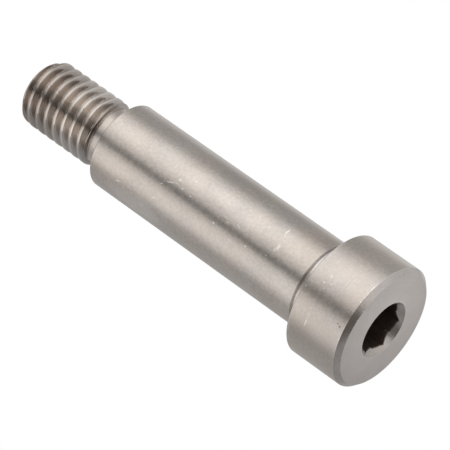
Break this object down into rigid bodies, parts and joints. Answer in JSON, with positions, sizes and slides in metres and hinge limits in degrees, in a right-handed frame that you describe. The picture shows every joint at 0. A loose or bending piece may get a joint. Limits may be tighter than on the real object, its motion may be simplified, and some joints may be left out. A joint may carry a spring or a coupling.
{
  "type": "shoulder bolt",
  "caption": "Stainless steel shoulder bolt: cylindrical head with a hexagon socket, ground shoulder, and a short threaded end past a turned neck.",
  "frame": {"origin": "centre of the head's flat face, round the socket, on which the bolt stands", "axes": "+Z along the bolt's axis, from the head's face through the shoulder to the threaded end; +X through a corner of the hexagon socket"},
  "size_m": [0.0142, 0.014, 0.0491],
  "materials": {
    "stainless_steel": "satin, turned and ground, bare stainless steel with fine handling marks"
  },
  "bodies": {
    "root": {"shoulder_bolt": "stainless_steel"}
  },
  "joints": []
}
